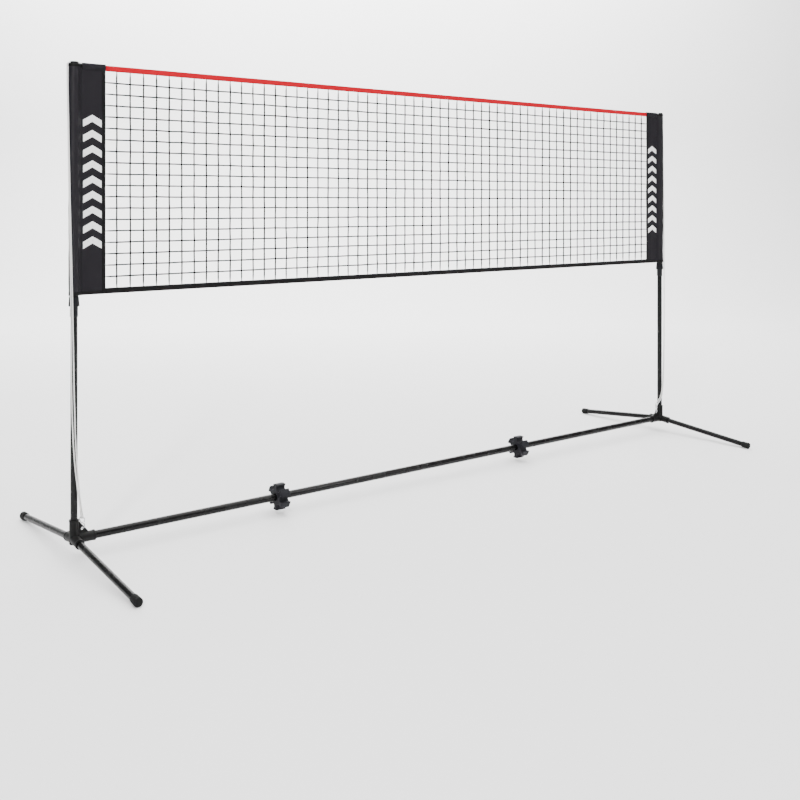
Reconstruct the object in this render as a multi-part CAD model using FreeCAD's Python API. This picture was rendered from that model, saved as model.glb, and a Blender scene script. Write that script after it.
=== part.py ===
import FreeCAD, Part
import math
import os

# Portable badminton net on two telescoping poles, in millimetres.
# +X runs along the net, +Y to the rear, +Z up. The origin is on the floor, midway between the poles.
# The left end is built about its own pole and mirrored to the right end, so "inner" below means
# towards the middle of the net.

# ---- overall sizes -------------------------------------------------------------------------
pole_spacing = 3000.0          # pole axis to pole axis
net_height = 1550.0            # floor to the top of the pole caps, poles fully extended
foot_reach = 465.0             # pole axis to the end of a foot cap, along Y
hub_axis_height = 60.0         # floor to the axis of the ground bar

# ---- tubes ---------------------------------------------------------------------------------
bar_od = 25.0
bar_wall = 1.3
bar_sections = 3
spigot_length = 120.0
foot_od = 22.0
foot_wall = 1.2
lower_pole_od = 22.0
lower_pole_wall = 1.2
upper_pole_wall = 1.35
pole_overlap = 100.0           # lower pole and its plug inside the upper pole, fully extended

# ---- clearances ----------------------------------------------------------------------------
push_fit = 0.05                # radial, pieces that are pushed together and stay
running_fit = 0.08             # radial, pieces that turn or slide on each other
soft_gap = 0.3                 # cloth and cord to the piece they lie against
end_gap = 2.0                  # left between pieces that stop each other

# ---- hub -----------------------------------------------------------------------------------
hub_socket_wall = 4.0
hub_bar_socket_wall = 3.5
hub_pole_socket_top = 60.0     # above the bar axis
hub_bar_socket_reach = 68.0    # from the pole axis
hub_foot_socket_reach = 50.0
hub_core_wall = 7.0            # from the pole to the blind end of each side socket
hub_floor = 4.0                # from the bar axis up to the blind end of the pole socket
hub_rim = 0.8                  # rim that stands proud round each socket mouth
hub_rim_width = 5.0
gusset_thickness = 4.0
gusset_past_socket = 33.0      # along the bar, from the pole socket
gusset_rise = 54.0             # above the bar axis
hook_hole_past_socket = 12.0   # from the pole socket
hook_hole_above_socket = 12.0  # from the bar socket
hook_hole_r = 4.4

# ---- feet ----------------------------------------------------------------------------------
foot_cap_length = 32.0
foot_cap_end = 6.0             # rubber past the end of the foot tube
foot_cap_mouth_wall = 1.8
foot_cap_end_wall = 3.0
foot_cap_chamfer = 2.5
foot_cap_flat = 1.0            # depth of the flat that stands on the floor

# ---- twist lock ----------------------------------------------------------------------------
collar_height = 30.0
collar_top_wall = 1.2
collar_bottom_wall = 3.2
collar_lip = 4.0
collar_gap = 3.7               # from the collar up to the sleeve
collar_flutes = 12
collar_flute_r = 1.3
collet_wall = 1.52
collet_nose = 33.0             # shows below the collar
collet_inside = 50.0           # held in the upper pole
collet_slot = 1.5
plug_flange = 12.0
plug_shank = 20.0
cap_flange = 6.0
cap_overhang = 0.6
cap_shank = 20.0
cap_groove_gap = 0.5           # beside each strand of the cord

# ---- net, tapes and sleeves ----------------------------------------------------------------
sleeve_height = 724.0
sleeve_pocket_wall = 4.2       # cloth, seam and slack round the pole
sleeve_panel_reach = 105.0     # pole axis to the inner edge of the sleeve
sleeve_panel_thickness = 3.0
hem_past_pocket = 6.5          # from the pole pocket to where the cord goes into the top hem
hem_depth = 22.0
hem_side = 0.4                 # cloth beside each strand
hem_over = 0.7                 # cloth over the strands
tape_rise = 2.0                # top tape above the top of the poles
tape_height = 18.0
tape_thickness = 4.0
net_thickness = 1.0

# ---- cord and hooks ------------------------------------------------------------------------
cord_d = 4.0
strand_gap = 4.6               # between the two strands where they cross the cap
hook_wire_d = 3.6
hook_curl_r = 9.0              # centre line
hook_open_angle = 40.0
hook_turn = 35.0               # of the hook's plane about the upright, from square across the gusset
cord_lean = 20.0               # of both strands from upright, where they come up from the hook

# ---- pole clips ----------------------------------------------------------------------------
clip_length = 38.0
clip_outer_r = 46.0
clip_pockets = 6
clip_snap = 5.6                # how much narrower a pocket's mouth is than the pocket
clip_first_pocket = 0.0        # degrees from +Y towards +Z
clip_edge_r = 1.2
clip_left_x = -731.0
clip_right_x = 503.0

# ---- derived -------------------------------------------------------------------------------
half_span = pole_spacing / 2.0
bar_r = bar_od / 2.0
foot_r = foot_od / 2.0
lower_r = lower_pole_od / 2.0
cord_r = cord_d / 2.0
upper_bore_r = lower_r + running_fit + collet_wall + push_fit
upper_r = upper_bore_r + upper_pole_wall
pocket_r = foot_r + soft_gap
clip_pocket_mouth = 2.0 * pocket_r - clip_snap
pole_socket_r = lower_r + hub_socket_wall
bar_socket_r = bar_r + hub_bar_socket_wall
foot_socket_r = foot_r + hub_socket_wall
hub_core = lower_r + hub_core_wall
hub_top = hub_axis_height + hub_pole_socket_top
gusset_reach = pole_socket_r + gusset_past_socket
hook_hole_x = pole_socket_r + hook_hole_past_socket
hook_hole_z = bar_socket_r + hook_hole_above_socket
foot_cap_mouth_r = foot_r + foot_cap_mouth_wall
foot_cap_end_r = foot_r + foot_cap_end_wall
foot_end_height = foot_cap_end_r - foot_cap_flat
foot_angle = math.atan2(hub_axis_height - foot_end_height, foot_reach)
foot_length = math.hypot(foot_reach, hub_axis_height - foot_end_height)
upper_top = net_height - cap_flange
cap_flange_r = upper_r + cap_overhang
cap_groove = strand_gap + cord_d + 2.0 * cap_groove_gap
sleeve_outer_r = upper_r + soft_gap + sleeve_pocket_wall
sleeve_top = upper_top - soft_gap
sleeve_bottom = sleeve_top - sleeve_height
hem_start = sleeve_outer_r + hem_past_pocket
hem_thickness = strand_gap + cord_d + 2.0 * hem_side
hem_top = upper_top + soft_gap + cord_d + hem_over
tape_top = upper_top + tape_rise
net_half = half_span - sleeve_panel_reach
collar_top = sleeve_bottom - collar_gap
collar_bottom = collar_top - collar_height
collar_top_r = upper_r + collar_top_wall
collar_bottom_r = upper_r + collar_bottom_wall
collet_bottom = collar_bottom - collet_nose
upper_bottom = collar_bottom + collar_lip
lower_plug_top = upper_bottom + pole_overlap
lower_top = lower_plug_top - plug_flange
nose_travel = collet_bottom - hub_top - end_gap - 1.0
plug_travel = upper_top - cap_shank - lower_plug_top - end_gap
height_travel = min(nose_travel, plug_travel)
hook_curl_z = hub_axis_height + hook_hole_z + hook_curl_r
hook_top_z = hook_curl_z + 3.0 * hook_curl_r


def vec(x, y, z):
    return FreeCAD.Vector(x, y, z)


def rod(start, end, radius):
    """A solid cylinder from one point to another."""
    axis = end.sub(start)
    return Part.makeCylinder(radius, axis.Length, start, axis)


def tube(start, end, outer, inner):
    """A tube open at both ends."""
    return rod(start, end, outer).cut(rod(start, end, inner))


def turned(points):
    """A closed outline of (radius, height) pairs turned about Z."""
    corners = [vec(r, 0, z) for r, z in points]
    outline = Part.makePolygon(corners + [corners[0]])
    return Part.Face(outline).revolve(vec(0, 0, 0), vec(0, 0, 1), 360)


def block(x_range, y_range, z_range):
    low = vec(x_range[0], y_range[0], z_range[0])
    return Part.makeBox(
        x_range[1] - x_range[0], y_range[1] - y_range[0], z_range[1] - z_range[0], low
    )


def on_pole(angle, radius, z):
    """A point beside the pole: angle in degrees from the inner side, turning to the rear."""
    turn = math.radians(angle)
    return vec(radius * math.cos(turn), radius * math.sin(turn), z)


def rounded_path(points, radii):
    """Straight runs joined by tangent arcs, one radius for each inner point."""
    edges = []
    start = points[0]
    for i in range(1, len(points) - 1):
        before = points[i - 1].sub(points[i]).normalize()
        after = points[i + 1].sub(points[i]).normalize()
        turn = math.pi - before.getAngle(after)
        setback = radii[i - 1] * math.tan(turn / 2.0)
        first = points[i].add(vec(*before).multiply(setback))
        last = points[i].add(vec(*after).multiply(setback))
        inward = vec(*before.add(after)).normalize()
        depth = radii[i - 1] / math.cos(turn / 2.0) - radii[i - 1]
        edges.append(Part.LineSegment(start, first).toShape())
        edges.append(Part.Arc(first, points[i].add(inward.multiply(depth)), last).toShape())
        start = last
    edges.append(Part.LineSegment(start, points[-1]).toShape())
    return Part.Wire(edges)


def swept(path, radius):
    """A round section swept along a path, as a solid."""
    start = path.Edges[0]
    point = start.valueAt(start.FirstParameter)
    along = start.tangentAt(start.FirstParameter)
    section = Part.Wire(Part.makeCircle(radius, point, along))
    return path.makePipeShell([section], True, True)


def make_hub():
    """Moulded four-way hub, about the pole axis with the bar along +X."""
    centre = vec(0, 0, hub_axis_height)
    bar_end = vec(hub_bar_socket_reach, 0, hub_axis_height)
    top = vec(0, 0, hub_top)
    bottom = vec(0, 0, hub_axis_height - bar_socket_r)
    hub = rod(bottom, top, pole_socket_r)
    hub = hub.fuse(rod(vec(0, 0, hub_top - hub_rim_width), top, pole_socket_r + hub_rim))
    hub = hub.fuse(rod(centre, bar_end, bar_socket_r))
    rim_start = bar_end.sub(vec(hub_rim_width, 0, 0))
    hub = hub.fuse(rod(rim_start, bar_end, bar_socket_r + hub_rim))
    for side in (1, -1):
        along = foot_direction(side)
        socket_end = centre.add(vec(*along).multiply(hub_foot_socket_reach))
        rim_start = centre.add(vec(*along).multiply(hub_foot_socket_reach - hub_rim_width))
        hub = hub.fuse(rod(centre, socket_end, foot_socket_r))
        hub = hub.fuse(rod(rim_start, socket_end, foot_socket_r + hub_rim))
    hub = hub.fuse(make_gusset())
    hub = hub.cut(rod(vec(0, 0, hub_axis_height + hub_floor), vec(0, 0, hub_top + 1.0), lower_r + push_fit))
    hub = hub.cut(rod(vec(hub_core, 0, hub_axis_height), bar_end.add(vec(1, 0, 0)), bar_r + push_fit))
    for side in (1, -1):
        along = foot_direction(side)
        blind_end = centre.add(vec(*along).multiply(hub_core))
        mouth = centre.add(vec(*along).multiply(hub_foot_socket_reach + 1.0))
        hub = hub.cut(rod(blind_end, mouth, foot_r + push_fit))
    return hub.removeSplitter()


def make_gusset():
    """Web between the pole socket and the bar socket, with the hook's hole."""
    base = hub_axis_height + bar_r
    corners = [
        vec(lower_r + 1.0, -gusset_thickness / 2.0, base),
        vec(lower_r + 1.0, -gusset_thickness / 2.0, hub_axis_height + gusset_rise),
        vec(pole_socket_r, -gusset_thickness / 2.0, hub_axis_height + gusset_rise),
        vec(gusset_reach, -gusset_thickness / 2.0, hub_axis_height + bar_socket_r),
        vec(gusset_reach, -gusset_thickness / 2.0, base),
    ]
    outline = Part.makePolygon(corners + [corners[0]])
    web = Part.Face(outline).extrude(vec(0, gusset_thickness, 0))
    hole_z = hub_axis_height + hook_hole_z
    hole_start = vec(hook_hole_x, -gusset_thickness, hole_z)
    hole_end = vec(hook_hole_x, gusset_thickness, hole_z)
    return web.cut(rod(hole_start, hole_end, hook_hole_r))


def foot_direction(side):
    """Unit vector from the hub along a foot: side +1 is the rear foot, -1 the front foot."""
    return vec(0, side * math.cos(foot_angle), -math.sin(foot_angle))


def make_foot(side):
    """Foot tube, from the blind end of its socket to the closed end of its cap."""
    centre = vec(0, 0, hub_axis_height)
    along = foot_direction(side)
    start = centre.add(vec(*along).multiply(hub_core))
    end = centre.add(vec(*along).multiply(foot_length - foot_cap_end))
    return tube(start, end, foot_r, foot_r - foot_wall)


def make_foot_cap(side):
    """Flared rubber cap, made upright, laid along the foot and flattened where it stands."""
    shell = turned([
        (0, 0),
        (foot_cap_end_r - foot_cap_chamfer, 0),
        (foot_cap_end_r, foot_cap_chamfer),
        (foot_cap_end_r, foot_cap_end + 3.0),
        (foot_cap_mouth_r, foot_cap_length),
        (foot_r + push_fit, foot_cap_length),
        (foot_r + push_fit, foot_cap_end),
        (0, foot_cap_end),
    ])
    back = foot_direction(side).negative()
    shell.Placement = FreeCAD.Placement(vec(0, 0, 0), FreeCAD.Rotation(vec(0, 0, 1), back))
    end = vec(0, 0, hub_axis_height).add(foot_direction(side).multiply(foot_length))
    shell.translate(end)
    floor = block((-50, 50), (-2 * foot_reach, 2 * foot_reach), (-50, 0))
    return shell.cut(floor)


def make_lower_pole():
    foot = vec(0, 0, hub_axis_height + hub_floor)
    top = vec(0, 0, lower_top)
    return tube(foot, top, lower_r, lower_r - lower_pole_wall)


def make_lower_plug():
    """Glide plug in the top of the lower pole, running inside the upper pole."""
    shank_r = lower_r - lower_pole_wall - push_fit
    glide_r = upper_bore_r - running_fit
    return turned([
        (0, lower_top - plug_shank),
        (shank_r, lower_top - plug_shank),
        (shank_r, lower_top),
        (glide_r, lower_top),
        (glide_r, lower_plug_top - 1.0),
        (glide_r - 1.0, lower_plug_top),
        (0, lower_plug_top),
    ])


def make_upper_pole():
    return tube(vec(0, 0, upper_bottom), vec(0, 0, upper_top), upper_r, upper_bore_r)


def make_collet():
    """Slotted sleeve fixed in the mouth of the upper pole, gripping the lower pole."""
    sleeve = turned([
        (lower_r + running_fit, collet_bottom),
        (upper_bore_r - push_fit - 0.8, collet_bottom),
        (upper_bore_r - push_fit, collet_bottom + 0.8),
        (upper_bore_r - push_fit, upper_bottom + collet_inside),
        (lower_r + running_fit, upper_bottom + collet_inside),
    ])
    reach = upper_r
    half = collet_slot / 2.0
    top = collar_bottom - 1.0
    sleeve = sleeve.cut(block((-reach, reach), (-half, half), (collet_bottom - 1.0, top)))
    return sleeve.cut(block((-half, half), (-reach, reach), (collet_bottom - 1.0, top)))


def make_collar():
    """Fluted cone nut that turns on the mouth of the upper pole."""
    lip_r = upper_bore_r + running_fit
    bore_r = upper_r + running_fit
    nut = turned([
        (lip_r, collar_bottom),
        (collar_bottom_r - 0.8, collar_bottom),
        (collar_bottom_r, collar_bottom + 0.8),
        (collar_bottom_r, collar_bottom + 3.0),
        (collar_top_r, collar_top - 0.8),
        (collar_top_r - 0.5, collar_top),
        (bore_r, collar_top),
        (bore_r, upper_bottom - running_fit),
        (lip_r, upper_bottom - running_fit),
    ])
    stand_off = collar_flute_r * 0.55
    for i in range(collar_flutes):
        angle = 360.0 * i / collar_flutes
        low = on_pole(angle, collar_bottom_r + stand_off, collar_bottom + 4.0)
        high = on_pole(angle, collar_top_r + stand_off, collar_top - 3.0)
        nut = nut.cut(rod(low, high, collar_flute_r))
    return nut


def make_top_cap():
    """Cap with two lugs either side of the cord's groove."""
    shank_r = upper_bore_r - push_fit
    cap = turned([
        (0, upper_top - cap_shank),
        (shank_r, upper_top - cap_shank),
        (shank_r, upper_top),
        (cap_flange_r, upper_top),
        (cap_flange_r, net_height - 1.5),
        (cap_flange_r - 1.5, net_height),
        (0, net_height),
    ])
    reach = 2.0 * upper_r
    half = cap_groove / 2.0
    groove = block((-reach, reach), (-half, half), (upper_top, net_height + 1.0))
    return cap.cut(groove)


def make_sleeve():
    """Cloth end sleeve: a pocket round the pole, a flat panel and a top hem for the cord."""
    pocket = rod(vec(0, 0, sleeve_bottom), vec(0, 0, sleeve_top), sleeve_outer_r)
    half = sleeve_panel_thickness / 2.0
    panel = block((upper_r, sleeve_panel_reach), (-half, half), (sleeve_bottom, sleeve_top))
    half = hem_thickness / 2.0
    hem = block((hem_start, sleeve_panel_reach), (-half, half), (hem_top - hem_depth, hem_top))
    cloth = pocket.fuse(panel).fuse(hem)
    hollow = rod(vec(0, 0, sleeve_bottom - 1.0), vec(0, 0, sleeve_top + 1.0), upper_r + soft_gap)
    return cloth.cut(hollow).removeSplitter()


def make_hook():
    """S-hook standing across the gusset: the lower curl is through its hole."""
    opening = math.radians(hook_open_angle)
    edges = [
        curl_arc(hook_curl_z, opening, -math.pi / 2.0),
        curl_arc(hook_curl_z, -math.pi / 2.0, -1.5 * math.pi),
        curl_arc(hook_curl_z + 2.0 * hook_curl_r, -math.pi / 2.0, math.pi / 2.0),
        curl_arc(hook_curl_z + 2.0 * hook_curl_r, math.pi / 2.0, math.pi + opening),
    ]
    return swept(Part.Wire(edges), hook_wire_d / 2.0)


def curl_arc(centre_z, first, last):
    """Arc of a hook's curl, in the hook's own upright plane."""
    turns = (first, (first + last) / 2.0, last)
    ends = [hook_point(hook_curl_r * math.cos(t), 0, centre_z + hook_curl_r * math.sin(t)) for t in turns]
    return Part.Arc(ends[0], ends[1], ends[2]).toShape()


def hook_point(along, across, z):
    """A point at the hook: measured along its plane to the rear, and across it to the inner side."""
    turn = math.radians(hook_turn)
    x = hook_hole_x - along * math.sin(turn) + across * math.cos(turn)
    return vec(x, along * math.cos(turn) + across * math.sin(turn), z)


def make_cord():
    """Doubled cord: out of the hem, over the cap, down past the pole, round the hook and back."""
    cap_z = upper_top + cord_r + soft_gap
    side = sleeve_outer_r + cord_r + 3.0 * soft_gap
    turn_r = hook_wire_d / 2.0 + cord_r + soft_gap
    lean = math.radians(cord_lean)
    across = turn_r * math.cos(lean)
    under = turn_r * math.sin(lean)
    half = strand_gap / 2.0
    front = [
        vec(hem_start, -half, cap_z),
        vec(-side - soft_gap, -half, cap_z),
        on_pole(211, side, 1160),
        on_pole(238, side, 780),
        on_pole(249, side, 520),
        on_pole(264, side, 330),
        on_pole(285, side, 200),
        hook_point(0, across + under, hook_top_z + under - across),
    ]
    rear = [
        vec(hem_start, half, cap_z),
        vec(-side - soft_gap, half, cap_z),
        on_pole(203, side, 1160),
        on_pole(224, side, 780),
        on_pole(227, side, 520),
        on_pole(244, side, 330),
        on_pole(274, side, 200),
        hook_point(0, under - across, hook_top_z - under - across),
    ]
    points = front + rear[::-1]
    last = len(points) - 1
    tight = {1: 3.0, len(front) - 1: turn_r - 0.1, len(front): turn_r - 0.1, last - 1: 3.0}
    radii = [tight.get(i, roomy_radius(points, i)) for i in range(1, last)]
    path = rounded_path(points, radii)
    cord = swept(path, cord_r)
    expected = math.pi * cord_r ** 2 * path.Length
    print("cord length %.1f mm, volume %.1f of %.1f mm3" % (path.Length, cord.Volume, expected))
    print("cord radii " + " ".join("%.1f" % radius for radius in radii))
    return cord


def roomy_radius(points, i):
    """The largest arc that the two runs beside a gentle bend leave room for."""
    before = points[i - 1].sub(points[i])
    after = points[i + 1].sub(points[i])
    turn = math.pi - before.getAngle(after)
    return 0.45 * min(before.Length, after.Length) / math.tan(turn / 2.0)


def make_clip():
    """Star clip turned about its bore: six open pockets round a hole for the ground bar."""
    mouth_half = clip_pocket_mouth / 2.0
    mouth_x = math.sqrt(clip_outer_r ** 2 - mouth_half ** 2)
    pocket_x = mouth_x - math.sqrt(pocket_r ** 2 - mouth_half ** 2)
    half = clip_length / 2.0
    clip = rod(vec(-half, 0, 0), vec(half, 0, 0), clip_outer_r)
    clip = clip.cut(rod(vec(-clip_length, 0, 0), vec(clip_length, 0, 0), bar_r + running_fit))
    for i in range(clip_pockets):
        turn = math.radians(clip_first_pocket + 360.0 * i / clip_pockets)
        y = pocket_x * math.cos(turn)
        z = pocket_x * math.sin(turn)
        clip = clip.cut(rod(vec(-clip_length, y, z), vec(clip_length, y, z), pocket_r))
    corners = []
    for edge in clip.Edges:
        first = edge.Vertexes[0].Point
        last = edge.Vertexes[-1].Point
        along_bar = abs(abs(first.x - last.x) - clip_length) < 0.01
        outside = math.hypot(first.y, first.z) > clip_outer_r - 0.01
        if along_bar and outside and abs(first.y - last.y) < 0.01:
            corners.append(edge)
    return clip, corners


def make_bar_section(index):
    """One of the equal lengths of the ground bar, counted from the left."""
    start = -half_span + hub_core
    length = (pole_spacing - 2.0 * hub_core) / bar_sections
    low = vec(start + index * length, 0, hub_axis_height)
    high = vec(start + (index + 1) * length, 0, hub_axis_height)
    return tube(low, high, bar_r, bar_r - bar_wall)


def make_spigot(index):
    """Joining tube inside the bar, centred on the joint after section index."""
    start = -half_span + hub_core
    length = (pole_spacing - 2.0 * hub_core) / bar_sections
    joint = start + (index + 1) * length
    outer = bar_r - bar_wall - push_fit
    low = vec(joint - spigot_length / 2.0, 0, hub_axis_height)
    high = vec(joint + spigot_length / 2.0, 0, hub_axis_height)
    return tube(low, high, outer, outer - bar_wall)


def save(shape, name):
    """Write one named piece, and stop if it is not a sound solid."""
    if shape.isNull() or not shape.isValid() or not shape.Solids:
        raise ValueError("unsound shape: " + name)
    if len(shape.Solids) == 1:
        shape = shape.Solids[0]
    shape.exportStep("parts/" + name + ".step")
    print("%-22s solids %d volume %.0f" % (name, len(shape.Solids), shape.Volume))


def save_pair(shape, name):
    """Write a piece of the left end at its pole, and its mirror image at the right pole."""
    left = shape.copy()
    left.translate(vec(-half_span, 0, 0))
    save(left, name + "_left")
    save(left.mirror(vec(0, 0, 0), vec(1, 0, 0)), name + "_right")


os.makedirs("parts", exist_ok=True)
print("height travel %.1f mm" % height_travel)

save_pair(make_hub(), "hub")
save_pair(make_foot(-1), "foot_front")
save_pair(make_foot(1), "foot_rear")
save_pair(make_foot_cap(-1), "foot_cap_front")
save_pair(make_foot_cap(1), "foot_cap_rear")
save_pair(make_lower_pole(), "lower_pole")
save_pair(make_lower_plug(), "lower_plug")
save_pair(make_upper_pole(), "upper_pole")
save_pair(make_collet(), "lock_collet")
save_pair(make_collar(), "lock_collar")
save_pair(make_top_cap(), "top_cap")
save_pair(make_sleeve(), "sleeve")
save_pair(make_hook(), "s_hook")
save_pair(make_cord(), "tension_cord")

for index, place in enumerate(("left", "middle", "right")):
    save(make_bar_section(index), "ground_bar_" + place)
for index, place in enumerate(("left", "right")):
    save(make_spigot(index), "bar_spigot_" + place)

for place, x in (("left", clip_left_x), ("right", clip_right_x)):
    clip, mouth_edges = make_clip()
    clip = clip.makeFillet(clip_edge_r, mouth_edges)
    clip.translate(vec(x, 0, hub_axis_height))
    save(clip, "pole_clip_" + place)

net_x = (-net_half, net_half)
tape_y = (-tape_thickness / 2.0, tape_thickness / 2.0)
net_y = (-net_thickness / 2.0, net_thickness / 2.0)
net_z = (sleeve_bottom + tape_height, tape_top - tape_height)
save(block(net_x, tape_y, (net_z[1], tape_top)), "top_tape")
save(block(net_x, tape_y, (sleeve_bottom, net_z[0])), "bottom_tape")
save(block(net_x, net_y, net_z), "net_mesh")
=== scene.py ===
import math
import random

import bmesh
import bpy
from mathutils import Matrix, Vector


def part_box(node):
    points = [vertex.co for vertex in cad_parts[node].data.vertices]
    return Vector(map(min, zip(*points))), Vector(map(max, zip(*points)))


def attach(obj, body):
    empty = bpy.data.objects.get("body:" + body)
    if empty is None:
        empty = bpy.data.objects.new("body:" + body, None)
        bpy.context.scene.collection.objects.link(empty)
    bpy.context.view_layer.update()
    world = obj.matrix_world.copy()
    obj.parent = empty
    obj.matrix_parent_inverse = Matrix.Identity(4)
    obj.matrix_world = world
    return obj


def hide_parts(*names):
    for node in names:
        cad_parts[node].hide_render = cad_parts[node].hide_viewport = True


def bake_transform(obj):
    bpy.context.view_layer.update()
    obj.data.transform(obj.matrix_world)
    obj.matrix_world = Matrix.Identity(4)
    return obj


# Portable badminton net on two telescoping poles, in metres: +X runs along the net, +Y to the rear, +Z up.
# "Inner" means towards the middle of the net, and "reach" is a distance from a pole's axis that way.

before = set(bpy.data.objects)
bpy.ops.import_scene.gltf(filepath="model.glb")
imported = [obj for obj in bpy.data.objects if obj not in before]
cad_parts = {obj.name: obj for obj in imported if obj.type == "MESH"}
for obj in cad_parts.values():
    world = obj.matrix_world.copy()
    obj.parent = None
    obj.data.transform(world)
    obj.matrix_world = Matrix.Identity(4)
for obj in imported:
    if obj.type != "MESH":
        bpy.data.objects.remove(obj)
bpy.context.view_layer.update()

# ---- ends of the net -----------------------------------------------------------------------
ENDS = ("left", "right")
INNER = {"left": 1.0, "right": -1.0}
POLE_X = {end: sum(corner.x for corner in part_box("lower_pole_" + end)) / 2.0 for end in ENDS}

# ---- cloth sleeve --------------------------------------------------------------------------
SLEEVE_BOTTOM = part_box("bottom_tape")[0].z
SLEEVE_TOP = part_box("upper_pole_left")[1].z - 0.0003
PANEL_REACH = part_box("net_mesh")[0].x - POLE_X["left"]
POCKET_RADIUS = 0.0164
POCKET_OPENING = math.radians(50.0)
PLY_OFFSET = 0.0008
CLOTH = 0.0006
BINDING_LIFT = 0.0006
SEAM_REACH = 0.0275
HEM_START = 0.025
HEM_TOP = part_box("sleeve_left")[1].z
HEM_DEPTH = 0.022
SLEEVE_ROWS = 72
EDGE_INSET = 0.001
FLAT_START = 0.0245
POCKET_LIMIT = 0.0185

# ---- net -----------------------------------------------------------------------------------
NET_LOW, NET_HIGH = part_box("net_mesh")
NET_COLUMNS = 59
NET_PITCH = 0.046765
NET_ROWS = 18
TWINE = 0.0052
KNOT = 0.0034
SEWN_SHARE = 0.4
TUCK = 0.005

# ---- cord ----------------------------------------------------------------------------------
CORD = 0.004
CORD_SIDE = 0.0214
CORD_SIDE_LOW = 0.0236

# ---- feet ----------------------------------------------------------------------------------
BAR_HEIGHT = sum(corner.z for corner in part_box("ground_bar_left")) / 2.0
FOOT_REACH = 0.465
FOOT_END_HEIGHT = 0.013

# ---- camera, light and floor ---------------------------------------------------------------
CAMERA_HEADING = 35.51


def set_camera():
    data = bpy.data.cameras.new("camera")
    camera = bpy.data.objects.new("camera", data)
    bpy.context.scene.collection.objects.link(camera)
    camera.location = (-2.6738, -2.9307, 1.1059)
    camera.rotation_euler = (math.radians(90.0), 0.0, -math.radians(CAMERA_HEADING))
    data.sensor_width = 36.0
    data.lens = 44.22
    data.shift_x = 0.1085
    data.shift_y = -0.2453
    data.clip_end = 50.0
    bpy.context.scene.camera = camera


def add_softbox(name, place, aim, size, power):
    data = bpy.data.lights.new(name, "AREA")
    data.shape = "RECTANGLE"
    data.size = size[0]
    data.size_y = size[1]
    data.energy = power
    lamp = bpy.data.objects.new(name, data)
    bpy.context.scene.collection.objects.link(lamp)
    lamp.location = place
    lamp.rotation_euler = (Vector(aim) - Vector(place)).to_track_quat("-Z", "Y").to_euler()


def set_studio():
    world = bpy.data.worlds.new("studio")
    bpy.context.scene.world = world
    world.use_nodes = True
    sky = world.node_tree.nodes["Background"]
    sky.inputs["Color"].default_value = (1.0, 1.0, 1.0, 1.0)
    sky.inputs["Strength"].default_value = 0.32
    add_softbox("key", place=(-4.5, -3.5, 4.2), aim=(-0.6, 0.0, 0.8), size=(0.4, 2.4), power=240.0)
    add_softbox("fill", place=(3.5, -4.5, 3.6), aim=(0.8, 0.0, 0.6), size=(0.4, 2.4), power=110.0)
    add_softbox("overhead", place=(0.0, 0.5, 6.5), aim=(0.0, 0.5, 0.0), size=(9.0, 9.0), power=1150.0)
    add_softbox("wall_wash", place=(2.5, 4.5, 5.5), aim=(4.5, 7.5, 1.5), size=(9.0, 2.0), power=950.0)
    make_sweep()


def make_sweep():
    """Plain floor that curves up into a wall behind the net and another behind the camera."""
    heading = math.radians(CAMERA_HEADING)
    view = Vector((math.sin(heading), math.cos(heading), 0.0))
    across = Vector((view.y, -view.x, 0.0))
    behind_camera = 9.0
    behind_net = 5.0
    width = 28.0
    profile = draw_cove(-view, behind_camera)[::-1] + draw_cove(view, behind_net)
    bm = bmesh.new()
    row = [bm.verts.new(point - across * width / 2.0) for point in profile]
    edges = [bm.edges.new(pair) for pair in zip(row, row[1:])]
    push_line(bm, edges, across * width)
    floor = make_piece("floor", bm, floor_finish())


def draw_cove(direction, floor_length):
    """Points along the floor's end, up a quarter round and up a wall."""
    radius = 2.0
    wall = 6.0
    steps = 16
    points = []
    for i in range(steps + 1):
        turn = math.radians(90.0 * i / steps)
        rise = Vector((0.0, 0.0, radius * (1.0 - math.cos(turn))))
        points.append(direction * (floor_length + radius * math.sin(turn)) + rise)
    points.append(points[-1] + Vector((0.0, 0.0, wall)))
    return points


# ---- finishes ------------------------------------------------------------------------------
def start_finish(name, colour, roughness, metallic=0.0, gloss=0.12):
    material = bpy.data.materials.new(name)
    material.use_nodes = True
    tree = material.node_tree
    shader = tree.nodes["Principled BSDF"]
    shader.inputs["Base Color"].default_value = (*colour, 1.0)
    shader.inputs["Roughness"].default_value = roughness
    shader.inputs["Metallic"].default_value = metallic
    shader.inputs["Specular IOR Level"].default_value = gloss
    return material, tree, shader


def solid_point(tree):
    """Place in the piece, for grain that runs through it."""
    return tree.nodes.new("ShaderNodeTexCoord").outputs["Object"]


def cloth_point(tree):
    """Place along the cloth or cord, in metres."""
    return tree.nodes.new("ShaderNodeTexCoord").outputs["UV"]


def grain(tree, point, size, detail=3.0, stretch=(1.0, 1.0, 1.0)):
    """Noise with features of one size, in metres."""
    mapping = tree.nodes.new("ShaderNodeMapping")
    mapping.inputs["Scale"].default_value = stretch
    noise = tree.nodes.new("ShaderNodeTexNoise")
    noise.inputs["Scale"].default_value = 1.0 / size
    noise.inputs["Detail"].default_value = detail
    tree.links.new(point, mapping.inputs["Vector"])
    tree.links.new(mapping.outputs["Vector"], noise.inputs["Vector"])
    return noise.outputs["Fac"]


def calc(tree, operation, first, second=None, third=None):
    node = tree.nodes.new("ShaderNodeMath")
    node.operation = operation
    for socket, value in zip(node.inputs, (first, second, third)):
        if value is None:
            continue
        if isinstance(value, (int, float)):
            socket.default_value = value
        else:
            tree.links.new(value, socket)
    return node.outputs["Value"]


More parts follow.
